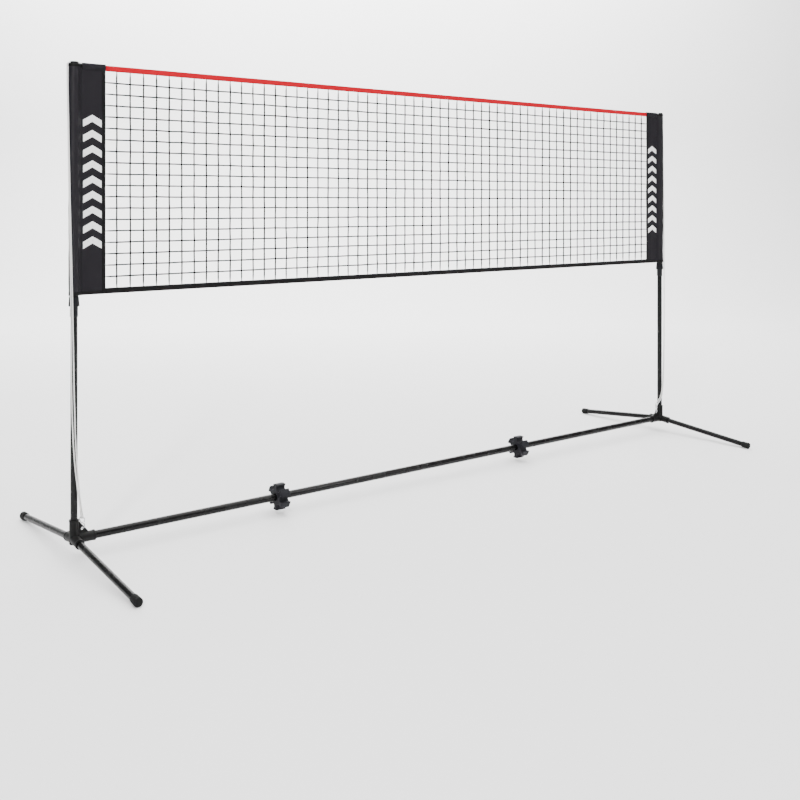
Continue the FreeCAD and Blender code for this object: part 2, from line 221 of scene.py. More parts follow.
def spread(tree, value, low, high, start=0.3, end=0.7):
    """Bring a 0 to 1 pattern to a range of values."""
    node = tree.nodes.new("ShaderNodeMapRange")
    node.inputs["From Min"].default_value = start
    node.inputs["From Max"].default_value = end
    node.inputs["To Min"].default_value = low
    node.inputs["To Max"].default_value = high
    tree.links.new(value, node.inputs["Value"])
    return node.outputs["Result"]


def tint(tree, shader, factor, dark, light):
    node = tree.nodes.new("ShaderNodeMix")
    node.data_type = "RGBA"
    node.inputs[6].default_value = (*dark, 1.0)
    node.inputs[7].default_value = (*light, 1.0)
    tree.links.new(factor, node.inputs[0])
    tree.links.new(node.outputs[2], shader.inputs["Base Color"])


def emboss(tree, shader, height, depth, strength=1.0):
    bump = tree.nodes.new("ShaderNodeBump")
    bump.inputs["Distance"].default_value = depth
    bump.inputs["Strength"].default_value = strength
    tree.links.new(height, bump.inputs["Height"])
    tree.links.new(bump.outputs["Normal"], shader.inputs["Normal"])


def floor_finish():
    material, tree, shader = start_finish("pale_floor", (0.94, 0.94, 0.94), 0.6)
    tint(tree, shader, grain(tree, solid_point(tree), 0.6), (0.93, 0.93, 0.93), (0.95, 0.95, 0.95))
    return material


def powder_coat(name):
    """Black powder coat on steel tube: satin gloss, fine orange peel and faint rub marks."""
    material, tree, shader = start_finish(name, (0.004, 0.004, 0.004), 0.26, gloss=0.17)
    point = solid_point(tree)
    peel = grain(tree, point, 0.0022, 2.0)
    rubs = grain(tree, point, 0.05, 6.0)
    tint(tree, shader, rubs, (0.002, 0.002, 0.002), (0.006, 0.006, 0.006))
    tree.links.new(spread(tree, rubs, 0.2, 0.32), shader.inputs["Roughness"])
    emboss(tree, shader, peel, 0.00006, 0.6)
    return material


def moulded_plastic(name, colour, roughness, texture_size=0.0009):
    """Injection moulded plastic with a spark-eroded grain and slight flow marks."""
    material, tree, shader = start_finish(name, colour, roughness)
    point = solid_point(tree)
    fine = grain(tree, point, texture_size, 4.0)
    flow = grain(tree, point, 0.018, 3.0, (1.0, 1.0, 0.4))
    pale = tuple(channel * 1.7 + 0.001 for channel in colour)
    tint(tree, shader, flow, colour, pale)
    tree.links.new(spread(tree, flow, roughness - 0.05, roughness + 0.1), shader.inputs["Roughness"])
    emboss(tree, shader, fine, 0.00012, 0.8)
    return material


def foot_rubber():
    material, tree, shader = start_finish("foot_rubber", (0.005, 0.005, 0.005), 0.7)
    point = solid_point(tree)
    scuffs = grain(tree, point, 0.006, 8.0)
    tint(tree, shader, scuffs, (0.003, 0.003, 0.003), (0.011, 0.011, 0.011))
    tree.links.new(spread(tree, scuffs, 0.6, 0.85), shader.inputs["Roughness"])
    emboss(tree, shader, grain(tree, point, 0.0012, 5.0), 0.0002, 0.8)
    return material


def zinc_wire():
    material, tree, shader = start_finish("hook_steel", (0.72, 0.72, 0.73), 0.28, 1.0)
    point = solid_point(tree)
    dull = grain(tree, point, 0.003, 5.0)
    tint(tree, shader, dull, (0.58, 0.58, 0.6), (0.82, 0.82, 0.82))
    tree.links.new(spread(tree, dull, 0.2, 0.4), shader.inputs["Roughness"])
    emboss(tree, shader, grain(tree, point, 0.0006, 3.0), 0.00004, 0.5)
    return material


def plain_steel():
    material, tree, shader = start_finish("spigot_steel", (0.5, 0.5, 0.5), 0.35, 1.0)
    drawn = grain(tree, solid_point(tree), 0.001, 4.0, (0.05, 1.0, 1.0))
    tint(tree, shader, drawn, (0.4, 0.4, 0.4), (0.6, 0.6, 0.6))
    emboss(tree, shader, drawn, 0.00003, 0.5)
    return material


def split_point(tree, point):
    node = tree.nodes.new("ShaderNodeSeparateXYZ")
    tree.links.new(point, node.inputs["Vector"])
    return node.outputs["X"], node.outputs["Y"], node.outputs["Z"]


def wave(tree, value, length):
    """Rounded ridges from 0 to 1, one for each length."""
    turned = calc(tree, "SINE", calc(tree, "MULTIPLY", value, 2.0 * math.pi / length))
    return calc(tree, "MULTIPLY_ADD", turned, 0.5, 0.5)


def plain_weave(tree, point, pitch):
    """Over-and-under relief of crossing yarns, two yarns to a pitch each way."""
    across, along, _ = split_point(tree, point)
    warp = wave(tree, across, pitch)
    weft = wave(tree, along, pitch)
    over = calc(tree, "MULTIPLY", warp, weft)
    under = calc(tree, "MULTIPLY", calc(tree, "SUBTRACT", 1.0, warp), calc(tree, "SUBTRACT", 1.0, weft))
    return calc(tree, "ADD", over, under)


def woven_cloth(name, dark, light, pitch, roughness, gloss=0.12):
    """Woven polyester: yarns, slubs and cloudy dye, with the dips of the weave relief painted darker as
    shade.
    """
    material, tree, shader = start_finish(name, dark, roughness, gloss=gloss)
    point = cloth_point(tree)
    yarns = plain_weave(tree, point, pitch)
    slubs = grain(tree, point, 0.012, 4.0, (6.0, 1.0, 1.0))
    # Tone from the slubs plus painted shade: the low parts of the weave relief are drawn darker.
    relief_shade_and_tone = calc(tree, "MULTIPLY_ADD", yarns, 0.35, calc(tree, "MULTIPLY", slubs, 0.65))
    tint(tree, shader, relief_shade_and_tone, dark, light)
    tree.links.new(spread(tree, slubs, roughness - 0.06, roughness + 0.06), shader.inputs["Roughness"])
    emboss(tree, shader, yarns, 0.13 * pitch, 0.9)
    return material


def printed_ink():
    """White screen print, slightly worn, with the cloth's weave showing through."""
    material, tree, shader = start_finish("printed_ink", (0.86, 0.86, 0.86), 0.55)
    point = solid_point(tree)
    wear = grain(tree, point, 0.004, 8.0)
    tint(tree, shader, spread(tree, wear, 0.0, 1.0, 0.25, 0.45), (0.62, 0.62, 0.63), (0.9, 0.9, 0.9))
    emboss(tree, shader, grain(tree, point, 0.0007, 3.0), 0.0001, 0.8)
    return material


def braided_cord():
    """White braid: two sets of strands crossing in diamonds, with the grooves between strands painted grey
    as shade.
    """
    material, tree, shader = start_finish("cord_white", (0.8, 0.79, 0.78), 0.75)
    around, along, _ = split_point(tree, cloth_point(tree))
    lead = calc(tree, "DIVIDE", along, CORD)
    turns = calc(tree, "MULTIPLY", around, 4.0)
    right = wave(tree, calc(tree, "ADD", turns, lead), 1.0)
    left = wave(tree, calc(tree, "SUBTRACT", turns, lead), 1.0)
    strands = calc(tree, "MAXIMUM", right, left)
    # Painted shade: where the strands dip into the braid's grooves, the cord is drawn grey.
    tint(tree, shader, spread(tree, strands, 0.0, 1.0, 0.45, 0.9), (0.5, 0.49, 0.48), (0.86, 0.85, 0.84))
    emboss(tree, shader, strands, 0.0004, 0.9)
    shader.inputs["Sheen Weight"].default_value = 0.2
    return material


def net_twine():
    """Dark twisted twine: slanting plies on both the upright and the level threads, with the grooves
    between plies painted darker as shade.
    """
    material, tree, shader = start_finish("net_twine", (0.012, 0.012, 0.012), 0.75)
    point = solid_point(tree)
    x, y, z = split_point(tree, point)
    slant = calc(tree, "ADD", calc(tree, "ADD", x, z), y)
    plies = wave(tree, slant, 0.0022)
    # Painted shade in the grooves between plies, varied by random tone.
    relief_shade_and_tone = calc(tree, "MULTIPLY", plies, grain(tree, point, 0.02, 3.0))
    tint(tree, shader, relief_shade_and_tone, (0.002, 0.002, 0.002), (0.008, 0.008, 0.008))
    emboss(tree, shader, plies, 0.0003, 0.8)
    return material


def sewing_thread(name, colour):
    material, tree, shader = start_finish(name, colour, 0.5)
    twist = grain(tree, solid_point(tree), 0.0008, 2.0)
    pale = tuple(channel * 1.5 + 0.01 for channel in colour)
    tint(tree, shader, twist, colour, pale)
    return material


# ---- making pieces -------------------------------------------------------------------------
def make_piece(name, bm, material, smooth=True):
    """A finished bmesh as an object at the origin."""
    mesh = bpy.data.meshes.new(name)
    bm.to_mesh(mesh)
    bm.free()
    mesh.materials.append(material)
    mesh.polygons.foreach_set("use_smooth", [smooth] * len(mesh.polygons))
    piece = bpy.data.objects.new(name, mesh)
    bpy.context.scene.collection.objects.link(piece)
    return piece


def settle_modifiers(piece):
    """Make a piece's live modifiers part of its mesh."""
    graph = bpy.context.evaluated_depsgraph_get()
    settled = piece.evaluated_get(graph)
    mesh = bpy.data.meshes.new_from_object(settled, preserve_all_data_layers=True, depsgraph=graph)
    piece.modifiers.clear()
    piece.data = mesh


def give_thickness(piece, thickness):
    """Turn an open strip into closed cloth, half its thickness each side."""
    wall = piece.modifiers.new("thickness", "SOLIDIFY")
    wall.thickness = thickness
    wall.offset = 0.0
    settle_modifiers(piece)


def fit_piece(piece, body, slot, *nodes):
    """Say what a piece rides on and hide the CAD nodes that it stands for. The slot is not used."""
    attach(piece, body)
    if nodes:
        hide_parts(*nodes)


def coat_node(node, material):
    """Give a CAD node that stays its own finish."""
    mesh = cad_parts[node].data
    mesh.materials.clear()
    mesh.materials.append(material)
    mesh.polygons.foreach_set("material_index", [0] * len(mesh.polygons))


def end_place(end, reach, y, z):
    """A point given by its reach from an end's pole."""
    return Vector((POLE_X[end] + INNER[end] * reach, y, z))


def push_line(bm, edges, move):
    """Extrude a line of edges by one move. Gives the new line and the faces behind it."""
    grown = bmesh.ops.extrude_edge_only(bm, edges=edges)["geom"]
    moved = [item for item in grown if isinstance(item, bmesh.types.BMVert)]
    faces = [item for item in grown if isinstance(item, bmesh.types.BMFace)]
    line = [item for item in grown if isinstance(item, bmesh.types.BMEdge) and item.is_boundary]
    line = [edge for edge in line if edge.verts[0] in moved and edge.verts[1] in moved]
    bmesh.ops.translate(bm, verts=moved, vec=move)
    return line, faces


def draw_strip(bm, outline, steps):
    """Extrude a line of points by a list of moves, with a UV map in metres."""
    layer = bm.loops.layers.uv.verify()
    travel = sum(steps, Vector())
    direction = travel.normalized()
    lengths = {}
    length = 0.0
    for i, point in enumerate(outline):
        if i > 0:
            length += (point - outline[i - 1]).length
        lengths[strip_key(point, direction)] = length
    row = [bm.verts.new(point) for point in outline]
    edges = [bm.edges.new(pair) for pair in zip(row, row[1:])]
    made = []
    for step in steps:
        edges, faces = push_line(bm, edges, step)
        made += faces
    for face in made:
        for loop in face.loops:
            place = loop.vert.co
            loop[layer].uv = (lengths[strip_key(place, direction)], (place - outline[0]).dot(direction))


def strip_key(point, direction):
    """The part of a point that a straight extrusion doesn't change."""
    flat = point - direction * point.dot(direction)
    return tuple(round(value * 1e6) for value in flat)


def stitch(bm, start, end, offset, pitch=0.0045, thread=0.0004):
    """A row of raised stitches from start to end, lifted off the cloth by an offset."""
    run = end - start
    count = max(1, round(run.length / pitch))
    turn = run.to_track_quat("X", "Z").to_matrix().to_4x4()
    shape = turn @ Matrix.Diagonal((pitch * 0.36, thread, thread, 1.0))
    for i in range(count):
        place = Matrix.Translation(start + run * ((i + 0.5) / count) + offset)
        bmesh.ops.create_icosphere(bm, subdivisions=1, radius=1.0, matrix=place @ shape)


# ---- tension cords -------------------------------------------------------------------------
def beside_pole(angle, radius, z):
    """A point round a pole: angle in degrees from the inner side, turning to the rear."""
    turn = math.radians(angle)
    return (radius * math.cos(turn), radius * math.sin(turn), z)


def cord_route():
    """The doubled cord's points from the hem over the cap, down, round the hook and back."""
    front = [
        (0.025, -0.0023, 1.5463),
        (-0.0038, -0.0023, 1.5463),
        (-0.0217, -0.0023, 1.5463),
        (-0.0217, -0.0024, 1.5278),
        beside_pole(211, CORD_SIDE, 1.160),
        beside_pole(238, CORD_SIDE, 0.780),
        beside_pole(249, CORD_SIDE, 0.520),
        beside_pole(264, CORD_SIDE, 0.330),
        beside_pole(296, CORD_SIDE_LOW, 0.194),
        beside_pole(322, CORD_SIDE_LOW, 0.157),
        (0.0268, -0.0012, 0.1361),
        (0.0316, 0.0032, 0.1215),
    ]
    rear = [
        (0.025, 0.0023, 1.5463),
        (-0.0038, 0.0023, 1.5463),
        (-0.0217, 0.0023, 1.5463),
        (-0.0217, 0.0022, 1.5278),
        beside_pole(203, CORD_SIDE, 1.160),
        beside_pole(224, CORD_SIDE, 0.780),
        beside_pole(227, CORD_SIDE, 0.520),
        beside_pole(244, CORD_SIDE, 0.330),
        beside_pole(284, CORD_SIDE_LOW, 0.194),
        beside_pole(306, CORD_SIDE_LOW, 0.156),
        (0.0205, -0.0052, 0.1334),
        (0.0248, -0.0015, 0.1185),
    ]
    return front + rear[::-1]


def smooth_line(points, name):
    """Points read along the smooth curve that a route steers."""
    data = bpy.data.curves.new(name, "CURVE")
    data.dimensions = "3D"
    spline = data.splines.new("NURBS")
    spline.points.add(len(points) - 1)
    for item, point in zip(spline.points, points):
        item.co = (*point, 1.0)
    spline.order_u = 3
    spline.use_endpoint_u = True
    spline.resolution_u = 24
    guide = bpy.data.objects.new(name, data)
    bpy.context.scene.collection.objects.link(guide)
    graph = bpy.context.evaluated_depsgraph_get()
    mesh = bpy.data.meshes.new_from_object(guide.evaluated_get(graph))
    line = [vertex.co.copy() for vertex in mesh.vertices]
    bpy.data.objects.remove(guide)
    bpy.data.meshes.remove(mesh)
    return line


def wrap_tube(bm, line, radius, sides):
    """Skin a line with a round tube, closed at both ends, with its UV map round and along it."""
    layer = bm.loops.layers.uv.verify()
    facing = Vector((0.0, 1.0, 0.0))
    rings = []
    along = 0.0
    for i, place in enumerate(line):
        tangent = (line[min(i + 1, len(line) - 1)] - line[max(i - 1, 0)]).normalized()
        facing = (facing - tangent * facing.dot(tangent)).normalized()
        basis = Matrix((facing, tangent.cross(facing), tangent)).transposed().to_4x4()
        matrix = Matrix.Translation(place) @ basis
        made = bmesh.ops.create_circle(bm, segments=sides, radius=radius, matrix=matrix)
        along += (place - line[max(i - 1, 0)]).length
        rings.append((made["verts"], along))
    for (low, low_along), (high, high_along) in zip(rings, rings[1:]):
        for k in range(sides):
            corners = (low[k], low[(k + 1) % sides], high[(k + 1) % sides], high[k])
            face = bm.faces.new(corners)
            uvs = ((k, low_along), (k + 1, low_along), (k + 1, high_along), (k, high_along))
            for loop, (turn, length) in zip(face.loops, uvs):
                loop[layer].uv = (turn / sides, length)
    bm.faces.new(rings[0][0][::-1])
    bm.faces.new(rings[-1][0])
    bmesh.ops.recalc_face_normals(bm, faces=bm.faces)


def make_cord(end, material):
    """White doubled cord that pulls the net tight over the pole cap and down to the hub."""
    route = [end_place(end, *point) for point in cord_route()]
    line = smooth_line(route, "cord_guide_" + end)
    bm = bmesh.new()
    wrap_tube(bm, line, CORD / 2.0, 10)
    cord = make_piece("cord_" + end, bm, material)
    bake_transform(cord)
    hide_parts("tension_cord_" + end)


# ---- moulded pieces ------------------------------------------------------------------------
def mould(name, node, body, slot, material, voxel, rounds):
    """A moulded piece: its CAD shape with every edge and inner corner rounded."""
    bm = bmesh.new()
    bm.from_mesh(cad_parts[node].data)
    bmesh.ops.remove_doubles(bm, verts=bm.verts, dist=2e-6)
    piece = make_piece(name, bm, material)
    skin = piece.modifiers.new("skin", "REMESH")
    skin.mode = "VOXEL"
    skin.voxel_size = voxel
    soften = piece.modifiers.new("soften", "SMOOTH")
    soften.factor = 0.5
    soften.iterations = rounds
    settle_modifiers(piece)
    piece.data.polygons.foreach_set("use_smooth", [True] * len(piece.data.polygons))
    piece.data.materials.clear()
    piece.data.materials.append(material)
    fit_piece(piece, body, slot, node)


def make_foot_cap(side, end, material):
    """Flared rubber cap, turned about its own axis, laid along its foot and flat on the floor."""
    outline = [
        (0.0, 0.0),
        (0.0112, 0.0),
        (0.0128, 0.0007),
        (0.0137, 0.0020),
        (0.0140, 0.0036),
        (0.0140, 0.0092),
        (0.0136, 0.0104),
        (0.0136, 0.0114),
        (0.0139, 0.0124),
        (0.0137, 0.0150),
        (0.0130, 0.0270),
        (0.0133, 0.0284),
        (0.0133, 0.0308),
        (0.0127, 0.0320),
        (0.0112, 0.0320),
        (0.0112, 0.0060),
        (0.0, 0.0060),
    ]
    bm = bmesh.new()
    row = [bm.verts.new((radius, 0.0, height)) for radius, height in outline]
    for pair in zip(row, row[1:]):
        bm.edges.new(pair)
    bmesh.ops.spin(
        bm, geom=bm.verts[:] + bm.edges[:], cent=(0, 0, 0), axis=(0, 0, 1),
        angle=2.0 * math.pi, steps=40, use_merge=True,
    )
    bmesh.ops.remove_doubles(bm, verts=bm.verts, dist=1e-6)
    bmesh.ops.recalc_face_normals(bm, faces=bm.faces)
    drop = BAR_HEIGHT - FOOT_END_HEIGHT
    back = Vector((0.0, -side * FOOT_REACH, drop)).normalized()
    turn = back.to_track_quat("Z", "X").to_matrix().to_4x4()
    place = Matrix.Translation((POLE_X[end], side * FOOT_REACH, FOOT_END_HEIGHT))
    bmesh.ops.transform(bm, matrix=place @ turn, verts=bm.verts)
    for vertex in bm.verts:
        vertex.co.z = max(vertex.co.z, 0.0)
    names = {1: "rear", -1: "front"}
    piece = make_piece("foot_cap_rubber_%s_%s" % (names[side], end), bm, material)
    fit_piece(piece, "base", "foot_rubber", "foot_cap_%s_%s" % (names[side], end))


# ---- cloth sleeves -------------------------------------------------------------------------
def sleeve_outline(radius, half, reach):
    """Line of the cloth seen from above: front ply, round the pole, rear ply."""
    panel_step = 0.006
    parted = half + 0.0006
    mouth = 0.0178
    leave = -POCKET_OPENING
    front = []
    count = max(1, round((reach - SEAM_REACH) / panel_step))
    for i in range(count):
        front.append((reach + (SEAM_REACH - reach) * i / count, -half))
    front.append((SEAM_REACH, -half))
    front.append((SEAM_REACH - 0.0025, -parted))
    front.append((mouth, (radius * math.sin(leave) - parted) / 2.0))
    steps = 26
    around = []
    for i in range(steps + 1):
        angle = leave - (2.0 * math.pi - 2.0 * POCKET_OPENING) * i / steps
        around.append((radius * math.cos(angle), radius * math.sin(angle)))
    rear = [(x, -y) for x, y in reversed(front)]
    return front + around + rear


def panel_slack(reach, z):
    """How far the flat of the sleeve stands to the rear, from the pull of the cord and the net."""
    inside = max(0.0, min(1.0, (reach - SEAM_REACH) / 0.02))
    height = (z - SLEEVE_BOTTOM) / (SLEEVE_TOP - SLEEVE_BOTTOM)
    ends = max(0.0, math.sin(math.pi * max(0.0, min(1.0, height)))) ** 0.5
    billow = 0.0009 * math.sin(9.0 * height + 1.1) * math.sin(36.0 * reach)
    drag = 0.0005 * math.sin(31.0 * height + 60.0 * reach)
    return inside * ends * (billow + drag)


def pocket_slack(reach, y, z):
    """Share by which the pole pocket is fuller or tighter at a place."""
    angle = math.atan2(y, reach)
    height = (z - SLEEVE_BOTTOM) / (SLEEVE_TOP - SLEEVE_BOTTOM)
    return 0.022 * math.sin(23.0 * height + 2.0 * angle) + 0.014 * math.sin(61.0 * height - 3.0 * angle)


def relax_cloth(bm, end):
    """Give flat-drawn sleeve cloth its slack."""
    for vertex in bm.verts:
        reach = (vertex.co.x - POLE_X[end]) * INNER[end]
        if reach > FLAT_START:
            vertex.co.y += panel_slack(reach, vertex.co.z)
        elif math.hypot(reach, vertex.co.y) < POCKET_LIMIT:
            fuller = 1.0 + pocket_slack(reach, vertex.co.y, vertex.co.z)
            vertex.co.x = POLE_X[end] + INNER[end] * reach * fuller
            vertex.co.y *= fuller


def draw_sleeve_strip(bm, end, radius, half, reach, low, high, count):
    outline = [end_place(end, x, y, low) for x, y in sleeve_outline(radius, half, reach)]
    draw_strip(bm, outline, [Vector((0.0, 0.0, (high - low) / count))] * count)


def draw_edge_binding(bm, end):
    """Folded tape over the sleeve's inner edge."""
    lift = PLY_OFFSET + CLOTH / 2.0 + 0.0004
    width = 0.011
    flat = (PANEL_REACH - width, PANEL_REACH - 0.006, PANEL_REACH - EDGE_INSET)
    fold = [(x, -lift) for x in flat]
    fold += [(PANEL_REACH - 0.0004, -lift * 0.6), (PANEL_REACH - 0.0003, 0.0)]
    fold += [(x, -y) for x, y in reversed(fold[:-1])]
    outline = [end_place(end, x, y, SLEEVE_BOTTOM) for x, y in fold]
    rise = (HEM_TOP - CLOTH - SLEEVE_BOTTOM) / SLEEVE_ROWS
    draw_strip(bm, outline, [Vector((0.0, 0.0, rise))] * SLEEVE_ROWS)


def make_sleeve(end, finishes):
    """Charcoal end sleeve with bound edges, a cord hem, seams and a printed row of chevrons."""
    reach = PANEL_REACH - EDGE_INSET
    bm = bmesh.new()
    draw_sleeve_strip(bm, end, POCKET_RADIUS, PLY_OFFSET, reach, SLEEVE_BOTTOM, SLEEVE_TOP, SLEEVE_ROWS)
    relax_cloth(bm, end)
    sleeve = make_piece("sleeve_cloth_" + end, bm, finishes["sleeve"])
    sleeve.data.materials.append(finishes["pocket"])
    # Faces round the pole take the darker pocket copy of the cloth, which paints shade on the pocket.
    for face in sleeve.data.polygons:
        if (face.center.x - POLE_X[end]) * INNER[end] < POCKET_RADIUS:
            face.material_index = 1
    give_thickness(sleeve, CLOTH)
    fit_piece(sleeve, "net_assembly", "sleeve_cloth", "sleeve_" + end)

    bm = bmesh.new()
    radius = POCKET_RADIUS + BINDING_LIFT
    half = PLY_OFFSET + BINDING_LIFT
    bottom_band = SLEEVE_BOTTOM + 0.011
    top_band = SLEEVE_TOP - 0.010
    draw_sleeve_strip(bm, end, radius, half, reach, SLEEVE_BOTTOM, bottom_band, 2)
    draw_sleeve_strip(bm, end, radius, half, SEAM_REACH + 0.001, top_band, SLEEVE_TOP, 2)
    draw_edge_binding(bm, end)
    relax_cloth(bm, end)
    binding = make_piece("sleeve_binding_" + end, bm, finishes["binding"])
    give_thickness(binding, CLOTH)
    fit_piece(binding, "net_assembly", "black_tape")

    hem = make_cord_hem(end, finishes["sleeve"])
    seams = make_sleeve_seams(end, finishes["dark_thread"])
    chevrons = make_chevrons(end, finishes["ink"])


def make_cord_hem(end, material):
    """Tunnel along the top of the sleeve that the cord runs into."""
    bottom = HEM_TOP - HEM_DEPTH
    side = 0.0046
    fold = [(-0.0017, bottom), (-0.0021, bottom + 0.003), (-side, bottom + 0.008)]
    fold += [(-side, HEM_TOP - 0.0045), (-side * 0.86, HEM_TOP - 0.0022), (-side * 0.5, HEM_TOP - 0.0008)]
    fold += [(0.0, HEM_TOP - 0.0003)]
    fold += [(-y, z) for y, z in reversed(fold[:-1])]
    outline = [end_place(end, HEM_START, y, z) for y, z in fold]
    count = 12
    step = Vector((INNER[end] * (PANEL_REACH - 0.0005 - HEM_START) / count, 0.0, 0.0))
    bm = bmesh.new()
    draw_strip(bm, outline, [step] * count)
    hem = make_piece("sleeve_hem_" + end, bm, material)
    give_thickness(hem, CLOTH)
    fit_piece(hem, "net_assembly", "sleeve_cloth")
    return hem


def make_sleeve_seams(end, material):
    """Stitch rows beside the pole pocket, along the bindings and under the hem."""
    bm = bmesh.new()
    piece_height = 0.024
    surface = PLY_OFFSET + CLOTH / 2.0
    count = round((SLEEVE_TOP - SLEEVE_BOTTOM - HEM_DEPTH) / piece_height)
    for side in (-1.0, 1.0):
        on_ply = Vector((0.0, side * (surface + 0.0001), 0.0))
        on_binding = Vector((0.0, side * (surface + 0.0008), 0.0))
        for reach, lift in ((SEAM_REACH + 0.0015, on_ply), (PANEL_REACH - 0.009, on_binding)):
            for i in range(count):
                low = SLEEVE_BOTTOM + 0.001 + i * piece_height
                high = low + piece_height
                start = end_place(end, reach, panel_slack(reach, low), low)
                finish = end_place(end, reach, panel_slack(reach, high), high)
                stitch(bm, start, finish, lift)
        for z, lift in ((SLEEVE_BOTTOM + 0.009, on_binding), (HEM_TOP - HEM_DEPTH + 0.0016, on_binding)):
            start = end_place(end, SEAM_REACH, 0.0, z)
            finish = end_place(end, PANEL_REACH - 0.002, 0.0, z)
            stitch(bm, start, finish, lift * 1.15)
    seams = make_piece("sleeve_seams_" + end, bm, material)
    fit_piece(seams, "net_assembly", "sleeve_cloth")
    return seams


def make_chevrons(end, material):
    """Printed white chevrons up the flat of the sleeve, on both faces."""
    count = 9
    lowest = 0.985
    pitch = 0.048
    width = 0.062
    middle = 0.0605
    bar = 0.022
    slope = 0.55
    bm = bmesh.new()
    for side in (-1.0, 1.0):
        lift = side * (PLY_OFFSET + CLOTH / 2.0 + 0.00012)
        for i in range(count):
            z = lowest + pitch * i
            made = bmesh.ops.create_grid(bm, x_segments=14, y_segments=5, size=0.5)["verts"]
            for vertex in made:
                across = vertex.co.x * width
                up = vertex.co.y * bar - slope * abs(across) + 0.007
                reach = middle + across
                vertex.co = end_place(end, reach, panel_slack(reach, z + up) + lift, z + up)
    chevrons = make_piece("sleeve_chevrons_" + end, bm, material, smooth=False)
    give_thickness(chevrons, 0.0002)
    fit_piece(chevrons, "net_assembly", "sleeve_cloth")
    return chevrons


# ---- net and its tapes ---------------------------------------------------------------------
def make_net(material):
    """Knotted net: upright and level threads, a little uneven, with a knot at each crossing."""
    rng = random.Random(7)
    sideways = 0.0007
    wander = 0.0006
    first = -NET_PITCH * (NET_COLUMNS - 1) / 2.0
    row_pitch = (NET_HIGH.z - NET_LOW.z) / (NET_ROWS + 1)
    crossings = []
    for i in range(NET_COLUMNS):
        column = []
        for j in range(NET_ROWS):
            x = first + NET_PITCH * i + rng.uniform(-sideways, sideways)
            z = NET_LOW.z + row_pitch * (j + 1) + rng.uniform(-wander, wander)
            column.append(Vector((x, rng.uniform(-wander, wander), z)))
        crossings.append(column)
    data = bpy.data.curves.new("net_threads", "CURVE")
    data.dimensions = "3D"
    data.bevel_depth = TWINE / 2.0
    data.bevel_resolution = 1
    data.use_fill_caps = True
    for i in range(NET_COLUMNS):
        x = first + NET_PITCH * i
        low = Vector((x, 0.0, NET_LOW.z - TUCK))
        high = Vector((x, 0.0, NET_HIGH.z + TUCK))
        add_thread(data, [low] + crossings[i] + [high], 1.0)
    for j in range(NET_ROWS):
        z = NET_LOW.z + row_pitch * (j + 1)
        left = Vector((NET_LOW.x - TUCK, 0.0, z))
        right = Vector((NET_HIGH.x + TUCK, 0.0, z))
        add_thread(data, [left] + [column[j] for column in crossings] + [right], -1.0)
    threads = bpy.data.objects.new("net_threads", data)
    bpy.context.scene.collection.objects.link(threads)
    graph = bpy.context.evaluated_depsgraph_get()
    mesh = bpy.data.meshes.new_from_object(threads.evaluated_get(graph))
    bpy.data.objects.remove(threads)
    bm = bmesh.new()
    bm.from_mesh(mesh)
    bmesh.ops.recalc_face_normals(bm, faces=bm.faces)
    for column in crossings:
        for place in column:
            size = KNOT * rng.uniform(0.9, 1.15)
            turn = Matrix.Rotation(rng.uniform(0.0, math.pi), 4, "Y")
            shape = Matrix.Diagonal((size, size * 0.85, size * 0.75, 1.0))
            matrix = Matrix.Translation(place) @ turn @ shape
            bmesh.ops.create_icosphere(bm, subdivisions=1, radius=1.0, matrix=matrix)
    net = make_piece("net_knotted", bm, material)
    fit_piece(net, "net_assembly", "net_twine", "net_mesh")


def add_thread(data, points, lean):
    """One thread through its crossings, to one side between them and pinched where its ends are sewn in."""
    aside = Vector((0.0, 0.0002 * lean, 0.0))
    between = [(a + b) / 2.0 + aside for a, b in zip(points, points[1:])]
    run = [points[0]]
    for middle, point in zip(between, points[1:]):
        run += [middle, point]
    spline = data.splines.new("POLY")
    spline.points.add(len(run) - 1)
    for item, point in zip(spline.points, run):
        item.co = (*point, 1.0)
    for item in (spline.points[0], spline.points[-1]):
        item.radius = SEWN_SHARE


def make_tape(edge, colour, cloth, thread, fold_up):
    """Tape folded over an edge of the net and stitched through."""
    name = edge + "_tape_" + colour
    node = edge + "_tape"
    slot = colour + "_tape"
    low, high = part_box(node)
    fold_z = high.z if fold_up else low.z
    open_z = low.z if fold_up else high.z
    inward = 1.0 if fold_up else -1.0
    half = 0.0015
    overlap = 0.004
    fold = [(-0.0012, open_z), (-half, open_z + inward * 0.004), (-half, fold_z - inward * 0.003)]
    fold += [(-half * 0.8, fold_z - inward * 0.0012), (-half * 0.4, fold_z - inward * 0.0005)]
    fold += [(0.0, fold_z - inward * 0.0003)]
    fold += [(-y, z) for y, z in reversed(fold[:-1])]
    count = 124
    outline = [Vector((low.x - overlap, y, z)) for y, z in fold]
    length = high.x - low.x + 2.0 * overlap
    step = Vector((length / count, 0.0, 0.0))
    bm = bmesh.new()
    draw_strip(bm, outline, [step] * count)
    for vertex in bm.verts:
        vertex.co.y += tape_wander(vertex.co.x)
    tape = make_piece(name, bm, cloth)
    give_thickness(tape, CLOTH)
    fit_piece(tape, "net_assembly", slot, node)
    bm = bmesh.new()
    stretch = 0.045
    margin = 0.0045
    for side in (-1.0, 1.0):
        lift = Vector((0.0, side * (half + CLOTH / 2.0 + 0.0001), 0.0))
        for z in (open_z + inward * margin, fold_z - inward * margin):
            for i in range(round((high.x - low.x) / stretch)):
                x = low.x + i * stretch
                start = Vector((x, tape_wander(x), z))
                finish = Vector((x + stretch, tape_wander(x + stretch), z))
                stitch(bm, start, finish, lift, pitch=0.005)
    stitches = make_piece(name + "_stitches", bm, thread)
    fit_piece(stitches, "net_assembly", slot)


def tape_wander(x):
    """How far a tape stands to the rear along the net."""
    return 0.0004 * math.sin(5.3 * x + 0.7) + 0.0002 * math.sin(17.0 * x)


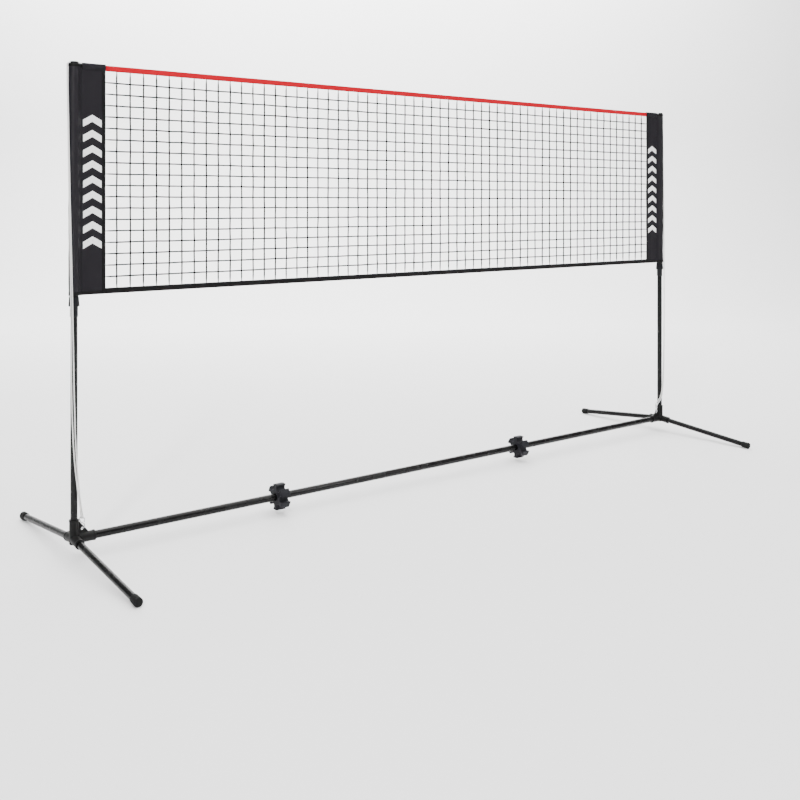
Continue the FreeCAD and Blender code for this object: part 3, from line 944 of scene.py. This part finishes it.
# ---- the whole net -------------------------------------------------------------------------
def make_finishes():
    black = (0.004, 0.004, 0.004)
    tape_dark = (0.002, 0.002, 0.002)
    tape_light = (0.006, 0.006, 0.006)
    sleeve_dark = (0.007, 0.006, 0.008)
    sleeve_light = (0.014, 0.013, 0.016)
    # The pole pocket is the same cloth as the flat sleeve, drawn darker: painted shade on the rounded
    # pocket. Its lower roughness and higher gloss are its finish.
    pocket_shade_dark = (0.005, 0.004, 0.006)
    pocket_shade_light = (0.011, 0.01, 0.013)
    red_dark = (0.38, 0.0, 0.008)
    red_light = (0.5, 0.0, 0.014)
    return {
        "tube": powder_coat("pole_steel"),
        "hub": moulded_plastic("hub_plastic", black, 0.42),
        "collar": moulded_plastic("collar_plastic", (0.005, 0.005, 0.006), 0.4),
        "collet": moulded_plastic("collet_plastic", (0.008, 0.008, 0.009), 0.35),
        "cap": moulded_plastic("cap_plastic", black, 0.4),
        "clip": moulded_plastic("clip_plastic", (0.009, 0.009, 0.011), 0.55, 0.0012),
        "inner": moulded_plastic("inner_plastic", (0.05, 0.05, 0.05), 0.5),
        "rubber": foot_rubber(),
        "zinc": zinc_wire(),
        "steel": plain_steel(),
        "cord": braided_cord(),
        "sleeve": woven_cloth("sleeve_cloth", sleeve_dark, sleeve_light, 0.0011, 0.7),
        "pocket": woven_cloth("pocket_cloth_shaded", pocket_shade_dark, pocket_shade_light, 0.0011, 0.34, 0.2),
        "binding": woven_cloth("binding_cloth", tape_dark, tape_light, 0.0009, 0.6),
        "red_tape": woven_cloth("red_tape", red_dark, red_light, 0.0009, 0.8),
        "black_tape": woven_cloth("black_tape", tape_dark, tape_light, 0.0009, 0.65),
        "ink": printed_ink(),
        "twine": net_twine(),
        "dark_thread": sewing_thread("dark_thread", black),
        "red_thread": sewing_thread("red_thread", (0.44, 0.0, 0.01)),
    }


def coat_frame(finishes):
    """Finishes of the CAD nodes that stay as they are."""
    for end in ENDS:
        for node in ("lower_pole", "upper_pole", "foot_front", "foot_rear"):
            coat_node(node + "_" + end, finishes["tube"])
        coat_node("lower_plug_" + end, finishes["inner"])
        coat_node("lock_collet_" + end, finishes["collet"])
        coat_node("s_hook_" + end, finishes["zinc"])
        coat_node("bar_spigot_" + end, finishes["steel"])
    for place in ("left", "middle", "right"):
        coat_node("ground_bar_" + place, finishes["tube"])


def make_moulded_pieces(finishes):
    for end in ENDS:
        mould("hub_moulded_" + end, "hub_" + end, "base", "hub_plastic", finishes["hub"], 0.001, 4)
        collar = "lock_collar_" + end
        mould("collar_moulded_" + end, collar, collar, "collar_plastic", finishes["collar"], 0.0005, 3)
        cap = "top_cap_" + end
        mould("cap_moulded_" + end, cap, "net_assembly", "cap_plastic", finishes["cap"], 0.0005, 3)
        clip = "pole_clip_" + end
        mould("clip_moulded_" + end, clip, clip, "clip_plastic", finishes["clip"], 0.0011, 3)
        for side in (-1, 1):
            make_foot_cap(side, end, finishes["rubber"])


def make_soft_pieces(finishes):
    make_net(finishes["twine"])
    make_tape("top", "red", finishes["red_tape"], finishes["red_thread"], True)
    make_tape("bottom", "black", finishes["black_tape"], finishes["dark_thread"], False)
    for end in ENDS:
        make_sleeve(end, finishes)


set_camera()
finishes = make_finishes()
for end in ENDS:
    make_cord(end, finishes["cord"])
coat_frame(finishes)
make_moulded_pieces(finishes)
make_soft_pieces(finishes)
set_studio()
